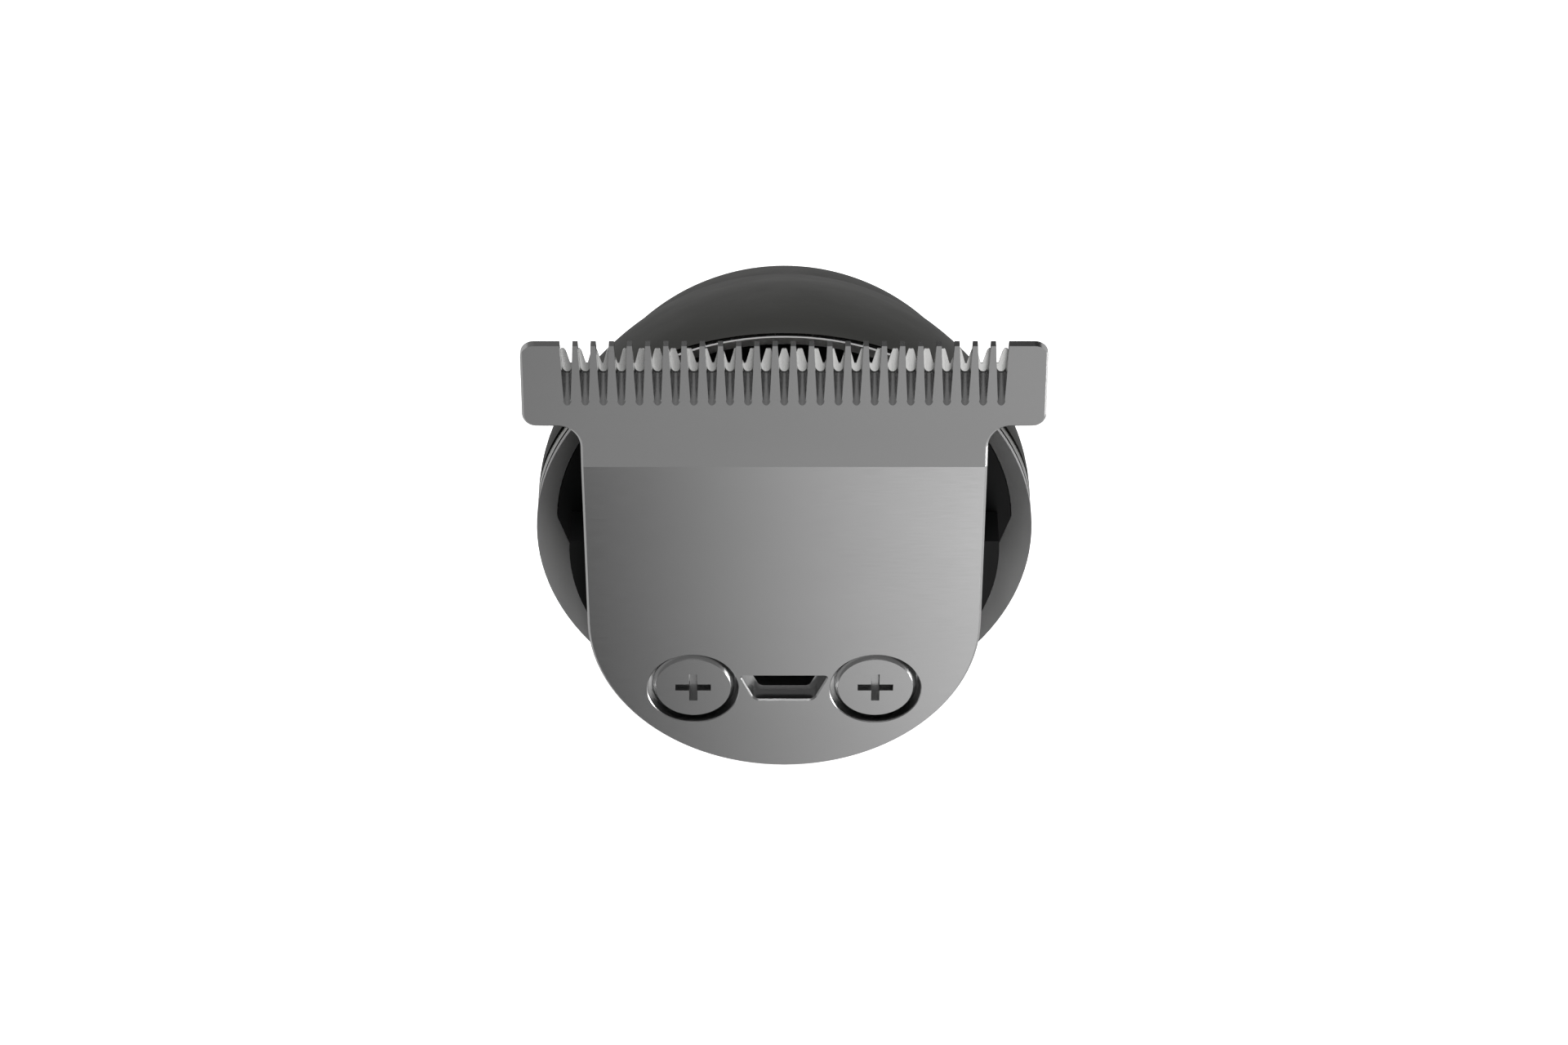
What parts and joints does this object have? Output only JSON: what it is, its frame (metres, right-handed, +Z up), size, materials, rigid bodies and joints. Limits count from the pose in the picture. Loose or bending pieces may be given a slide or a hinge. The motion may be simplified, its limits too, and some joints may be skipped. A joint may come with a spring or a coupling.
{
  "type": "electric pet clipper",
  "caption": "Cordless pet clipper: upright round handle with an angled metal T-blade head, reciprocating cutter, motor drive and push button.",
  "frame": {"origin": "centre of the foot's resting face, under the middle of the whole part", "axes": "+Z up the handle from the foot to the blade, -Y the side with the button and the blade's face, X across the blade"},
  "size_m": [0.0334, 0.0361, 0.1494],
  "materials": {
    "rubber": "matte rubber",
    "body_plastic": "matte dark grey plastic",
    "black_plastic": "black satin plastic",
    "trim_chrome": "bright metallised ring",
    "bezel_metal": "dark satin metallic paint",
    "blade_steel": "fine ground dark steel",
    "blade_screw_steel": "turned steel",
    "cutter_steel": "bright ground steel",
    "spring_steel": "polished steel",
    "screw_steel": "zinc plated steel",
    "motor_steel": "plated steel",
    "nickel": "nickel plate",
    "brass": "sintered brass",
    "guide_plastic": "white acetal",
    "chassis_plastic": "dark moulded plastic",
    "battery_wrap": "shrink sleeve",
    "board_green": "solder mask",
    "chip_black": "moulded epoxy",
    "button_plastic": "satin black",
    "lens": "frosted light pipe"
  },
  "bodies": {
    "handle": {"foot_pad": "rubber", "base_cap": "body_plastic", "base_screws": "screw_steel", "rear_shell": "body_plastic", "front_shell": "body_plastic", "neck_collar": "body_plastic", "chrome_trim_ring": "trim_chrome", "motor_can": "motor_steel", "motor_end_cap": "black_plastic", "motor_terminals": "brass", "motor_bush": "brass", "motor_mount": "chassis_plastic", "motor_screws": "screw_steel", "battery_cell": "battery_wrap", "battery_contacts": "nickel", "inner_chassis": "chassis_plastic", "circuit_board": "board_green", "board_screws": "screw_steel", "control_chips": "chip_black", "power_switch": "chip_black", "led_lens": "lens", "charging_socket": "nickel", "socket_tongue": "black_plastic"},
    "rotor": {"motor_shaft": "spring_steel", "rotor_core": "motor_steel", "eccentric_cam": "guide_plastic", "crank_pin": "spring_steel"},
    "button": {"power_button": "button_plastic"},
    "head": {"bezel_ring": "bezel_metal", "head_base": "black_plastic", "blade_carrier": "black_plastic", "fixed_blade": "blade_steel", "blade_screws": "blade_screw_steel", "blade_guide": "guide_plastic", "blade_spring": "spring_steel"},
    "cutter": {"moving_blade": "cutter_steel", "cutter_yoke": "guide_plastic", "yoke_rivets": "spring_steel"}
  },
  "joints": [
    {"name": "head_release", "type": "slide", "parent": "handle", "child": "head", "axis": [0, -0.6494, 0.7604], "range_m": [0, 0.02]},
    {"name": "motor_spin", "type": "hinge", "parent": "handle", "child": "rotor", "pos_m": [0, 0.001, 0.12], "axis": [0, 0, 1], "range_deg": [-60, 60]},
    {"name": "cutter_stroke", "type": "slide", "parent": "head", "child": "cutter", "axis": [1, 0, 0], "range_m": [-0.00073, 0.00073]},
    {"name": "power_press", "type": "slide", "parent": "handle", "child": "button", "axis": [0, 1, 0], "range_m": [0, 0.0006], "stiffness_N_per_m": 1500, "springref_m": -0.0003}
  ],
  "couplings": [
    {"joint": "motor_spin", "follows": "cutter_stroke", "rad_per_m": 1428.6}
  ]
}
